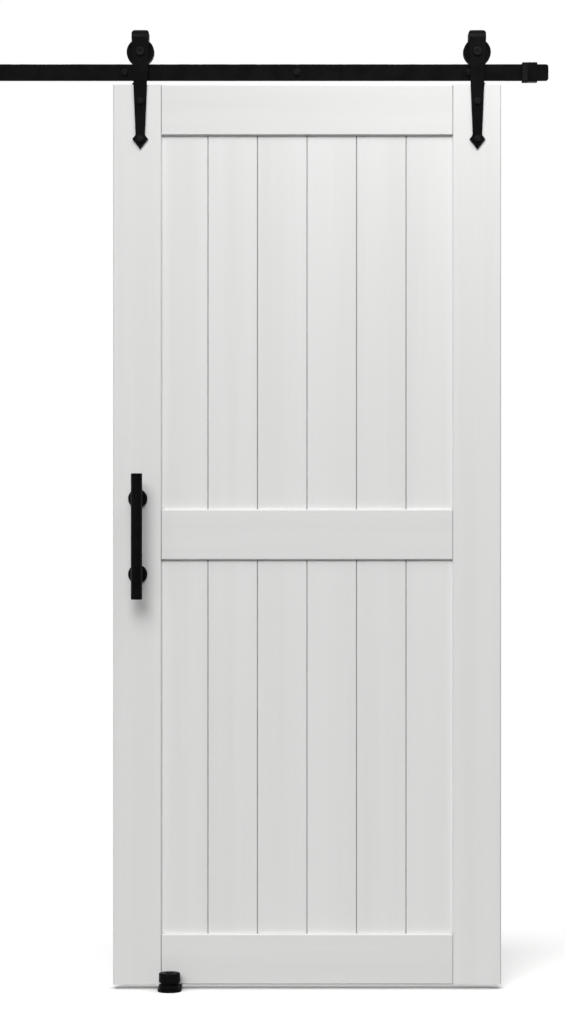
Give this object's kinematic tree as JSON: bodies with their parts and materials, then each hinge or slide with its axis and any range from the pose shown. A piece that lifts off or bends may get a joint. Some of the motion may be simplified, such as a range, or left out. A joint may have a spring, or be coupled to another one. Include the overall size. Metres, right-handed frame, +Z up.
{
  "type": "sliding barn door",
  "caption": "Framed white plank door that hangs from grooved wheels on a black wall track, with bar handle, end stops and roller floor guide.",
  "frame": {"origin": "middle of the track rail's length and height, on the wall plane that the rail spacers bear on", "axes": "+X along the track to the right as seen from the front, +Y into the wall, +Z up"},
  "size_m": [2, 0.1812, 2.292],
  "materials": {
    "white_paint": "satin white paint",
    "bare_wood": "bare",
    "black_coat": "fine matte powder coat",
    "black_rubber": "matte",
    "black_plastic": "satin",
    "white_plastic": "matte",
    "bare_steel": "ground"
  },
  "bodies": {
    "track": {"track_rail": "black_coat", "rail_spacers": "black_coat", "lag_bolts": "black_coat", "lag_washers": "black_coat", "left_stop": "black_coat", "right_stop": "black_coat", "stop_set_screws": "black_coat", "left_bumper": "black_rubber", "right_bumper": "black_rubber", "guide_base": "black_coat", "guide_boss": "black_coat", "roller_bolt": "black_coat", "floor_screws": "black_coat", "wear_pad": "white_plastic"},
    "door": {"left_stile": "white_paint", "right_stile": "white_paint", "top_rail": "white_paint", "middle_rail": "white_paint", "bottom_rail": "white_paint", "upper_plank_1": "white_paint", "upper_plank_2": "white_paint", "upper_plank_3": "white_paint", "upper_plank_4": "white_paint", "upper_plank_5": "white_paint", "upper_plank_6": "white_paint", "lower_plank_1": "white_paint", "lower_plank_2": "white_paint", "lower_plank_3": "white_paint", "lower_plank_4": "white_paint", "lower_plank_5": "white_paint", "lower_plank_6": "white_paint", "frame_dowels": "bare_wood", "left_hanger_strap": "black_coat", "right_hanger_strap": "black_coat", "bearing_inner_races": "bare_steel", "axle_bolts": "black_coat", "axle_nuts": "black_coat", "axle_spacers": "bare_steel", "hanger_bolts": "black_coat", "hanger_washers": "black_coat", "hanger_nuts": "black_coat", "left_anti_jump_disc": "black_plastic", "right_anti_jump_disc": "black_plastic", "anti_jump_screws": "black_coat", "handle_bar": "black_coat", "handle_upper_post": "black_coat", "handle_lower_post": "black_coat", "handle_upper_rosette": "black_coat", "handle_lower_rosette": "black_coat", "handle_bolts": "black_coat", "handle_washers": "black_coat"},
    "left_wheel": {"left_wheel": "black_coat", "left_bearing_outer_race": "bare_steel", "left_bearing_balls": "bare_steel"},
    "right_wheel": {"right_wheel": "black_coat", "right_bearing_outer_race": "bare_steel", "right_bearing_balls": "bare_steel"},
    "guide_roller": {"guide_roller": "black_plastic"}
  },
  "joints": [
    {"name": "door_slide", "type": "slide", "parent": "track", "child": "door", "axis": [1, 0, 0], "range_m": [-0.7622, 0.0846]},
    {"name": "left_wheel_turn", "type": "hinge", "parent": "door", "child": "left_wheel", "pos_m": [0.03731, -0.038, 0.0472], "axis": [0, 1, 0], "continuous": true},
    {"name": "right_wheel_turn", "type": "hinge", "parent": "door", "child": "right_wheel", "pos_m": [0.83131, -0.038, 0.0472], "axis": [0, 1, 0], "continuous": true},
    {"name": "guide_roller_turn", "type": "hinge", "parent": "track", "child": "guide_roller", "pos_m": [0.10731, -0.0788, -2.1615], "axis": [0, 0, 1], "continuous": true}
  ],
  "couplings": [
    {"joint": "left_wheel_turn", "follows": "door_slide", "rad_per_m": 36.364},
    {"joint": "right_wheel_turn", "follows": "door_slide", "rad_per_m": 36.364}
  ]
}
